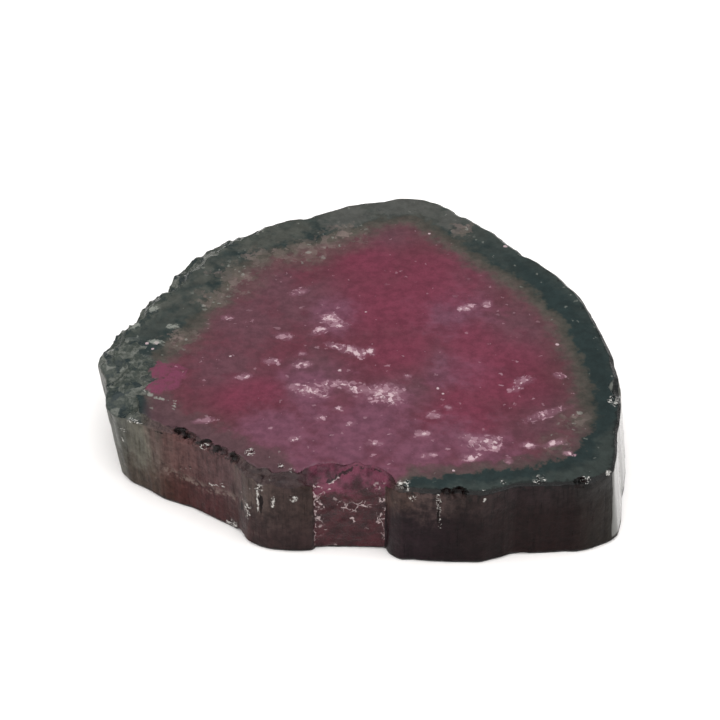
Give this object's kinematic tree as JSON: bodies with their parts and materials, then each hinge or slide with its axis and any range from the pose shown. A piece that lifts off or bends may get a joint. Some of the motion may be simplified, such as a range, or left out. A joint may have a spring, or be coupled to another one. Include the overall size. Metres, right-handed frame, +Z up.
{
  "type": "bicolor tourmaline slab",
  "caption": "Flat slice sawn across a rounded triangular tourmaline crystal, with a pink core, a dark green rind, ridged natural walls and a chipped rim.",
  "frame": {"origin": "middle of the bounding box at the lower sawn face, on which the slab rests", "axes": "+X along the crystal's long front side, +Y towards its back corner, +Z up through the slab's thickness"},
  "size_m": [0.0292, 0.0258, 0.0054],
  "materials": {
    "tourmaline": "satin"
  },
  "bodies": {
    "root": {"tourmaline_slab": "tourmaline"}
  },
  "joints": []
}
